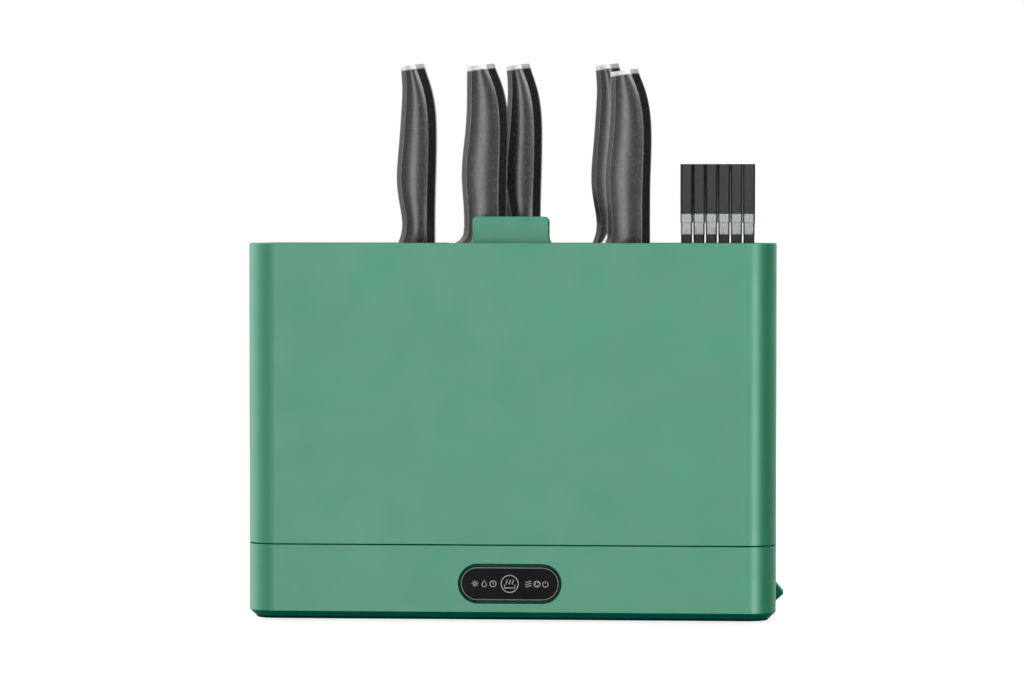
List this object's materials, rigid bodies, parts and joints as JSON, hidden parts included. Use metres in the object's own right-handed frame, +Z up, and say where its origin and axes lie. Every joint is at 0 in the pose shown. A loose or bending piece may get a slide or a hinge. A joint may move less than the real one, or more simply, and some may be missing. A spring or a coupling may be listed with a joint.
{
  "type": "chopstick and knife sterilizer box",
  "caption": "Countertop steriliser and dryer box: green housing with lift-out knives, cutting board and chopsticks over a heated base with side drip trays.",
  "frame": {"origin": "centre of the footprint, on the surface that the feet stand on", "axes": "+X to the right, towards the chopstick basket; +Y to the back; +Z up"},
  "size_m": [0.355, 0.13, 0.3666],
  "materials": {
    "green_housing": "satin moulded plastic, sage green",
    "dark_green_plastic": "satin moulded plastic, deep green",
    "inner_plastic": "fine matt moulded plastic, mid green",
    "panel_black": "polished black acrylic",
    "panel_trim": "thin bright trim",
    "board_plastic": "lightly textured food-safe plastic",
    "handle_black": "dark satin with fine sparkle",
    "blade_steel": "fine brushed",
    "cap_steel": "bright satin",
    "chopstick_grey": "smooth satin composite",
    "foot_rubber": "matt",
    "seal_rubber": "soft silicone",
    "window_glass": "clear quartz",
    "circuit_board": "solder mask",
    "fan_black": "matt moulded",
    "motor_metal": "satin",
    "heater_ceramic": "matt",
    "heater_metal": "thin rolled sheet",
    "winding_core": "varnished",
    "capacitor_sleeve": "shrink sleeve",
    "relay_case": "moulded",
    "led_lens": "clear",
    "screw_steel": "zinc plated",
    "pin_brass": "polished"
  },
  "bodies": {
    "base": {"base_shell": "green_housing", "rubber_feet": "foot_rubber", "base_screws": "screw_steel", "deck": "inner_plastic", "chamber_seals": "seal_rubber", "uv_windows": "window_glass", "uv_boards": "circuit_board", "panel_bezel": "panel_trim", "panel_lens": "panel_black", "touch_board": "circuit_board", "status_leds": "led_lens", "fan_frame": "fan_black", "fan_motor": "motor_metal", "heater_frame": "heater_ceramic", "heater_elements": "heater_ceramic", "heater_fins": "heater_metal", "air_duct": "heater_metal", "main_board": "circuit_board", "transformer": "winding_core", "capacitors": "capacitor_sleeve", "relay": "relay_case", "power_inlet": "fan_black", "inlet_pins": "pin_brass"},
    "fan_impeller": {"fan_impeller": "fan_black"},
    "left_tray": {"drip_tray_left": "dark_green_plastic"},
    "right_tray": {"drip_tray_right": "dark_green_plastic"},
    "housing": {"housing_shell": "green_housing", "floor_grille": "inner_plastic", "board_divider": "inner_plastic"},
    "rack": {"knife_rack": "inner_plastic"},
    "cutting_board": {"cutting_board": "board_plastic"},
    "basket": {"chopstick_basket": "inner_plastic"},
    "slicing_knife": {"slicing_knife_blade": "blade_steel", "slicing_knife_handle": "handle_black", "slicing_knife_end_cap": "cap_steel"},
    "cleaver": {"cleaver_blade": "blade_steel", "cleaver_handle": "handle_black", "cleaver_end_cap": "cap_steel"},
    "utility_knife": {"utility_knife_blade": "blade_steel", "utility_knife_handle": "handle_black", "utility_knife_end_cap": "cap_steel"},
    "paring_knife": {"paring_knife_blade": "blade_steel", "paring_knife_handle": "handle_black", "paring_knife_end_cap": "cap_steel"},
    "chef_knife": {"chef_knife_blade": "blade_steel", "chef_knife_handle": "handle_black", "chef_knife_end_cap": "cap_steel"},
    "chopstick_1": {"chopstick_1": "chopstick_grey", "chopstick_1_band": "cap_steel"},
    "chopstick_2": {"chopstick_2": "chopstick_grey", "chopstick_2_band": "cap_steel"},
    "chopstick_3": {"chopstick_3": "chopstick_grey", "chopstick_3_band": "cap_steel"},
    "chopstick_4": {"chopstick_4": "chopstick_grey", "chopstick_4_band": "cap_steel"},
    "chopstick_5": {"chopstick_5": "chopstick_grey", "chopstick_5_band": "cap_steel"},
    "chopstick_6": {"chopstick_6": "chopstick_grey", "chopstick_6_band": "cap_steel"}
  },
  "joints": [
    {"name": "fan_spin", "type": "hinge", "parent": "base", "child": "fan_impeller", "pos_m": [0, 0.008, 0.0155], "axis": [0, 0, 1], "continuous": true},
    {"name": "left_tray_slide", "type": "slide", "parent": "base", "child": "left_tray", "axis": [-1, 0, 0], "range_m": [0, 0.118]},
    {"name": "right_tray_slide", "type": "slide", "parent": "base", "child": "right_tray", "axis": [1, 0, 0], "range_m": [0, 0.118]},
    {"name": "housing_lift", "type": "slide", "parent": "base", "child": "housing", "axis": [0, 0, 1], "range_m": [0, 0.06]},
    {"name": "rack_lift", "type": "slide", "parent": "housing", "child": "rack", "axis": [0, 0, 1], "range_m": [0, 0.2]},
    {"name": "cutting_board_lift", "type": "slide", "parent": "housing", "child": "cutting_board", "axis": [0, 0, 1], "range_m": [0, 0.2]},
    {"name": "basket_lift", "type": "slide", "parent": "rack", "child": "basket", "axis": [0, 0, 1], "range_m": [0, 0.19]},
    {"name": "slicing_knife_lift", "type": "slide", "parent": "rack", "child": "slicing_knife", "axis": [0, 0, 1], "range_m": [0, 0.19]},
    {"name": "cleaver_lift", "type": "slide", "parent": "rack", "child": "cleaver", "axis": [0, 0, 1], "range_m": [0, 0.19]},
    {"name": "utility_knife_lift", "type": "slide", "parent": "rack", "child": "utility_knife", "axis": [0, 0, 1], "range_m": [0, 0.165]},
    {"name": "paring_knife_lift", "type": "slide", "parent": "rack", "child": "paring_knife", "axis": [0, 0, 1], "range_m": [0, 0.125]},
    {"name": "chef_knife_lift", "type": "slide", "parent": "rack", "child": "chef_knife", "axis": [0, 0, 1], "range_m": [0, 0.19]},
    {"name": "chopstick_1_lift", "type": "slide", "parent": "basket", "child": "chopstick_1", "axis": [0, 0, 1], "range_m": [0, 0.19]},
    {"name": "chopstick_2_lift", "type": "slide", "parent": "basket", "child": "chopstick_2", "axis": [0, 0, 1], "range_m": [0, 0.19]},
    {"name": "chopstick_3_lift", "type": "slide", "parent": "basket", "child": "chopstick_3", "axis": [0, 0, 1], "range_m": [0, 0.19]},
    {"name": "chopstick_4_lift", "type": "slide", "parent": "basket", "child": "chopstick_4", "axis": [0, 0, 1], "range_m": [0, 0.19]},
    {"name": "chopstick_5_lift", "type": "slide", "parent": "basket", "child": "chopstick_5", "axis": [0, 0, 1], "range_m": [0, 0.19]},
    {"name": "chopstick_6_lift", "type": "slide", "parent": "basket", "child": "chopstick_6", "axis": [0, 0, 1], "range_m": [0, 0.19]}
  ]
}
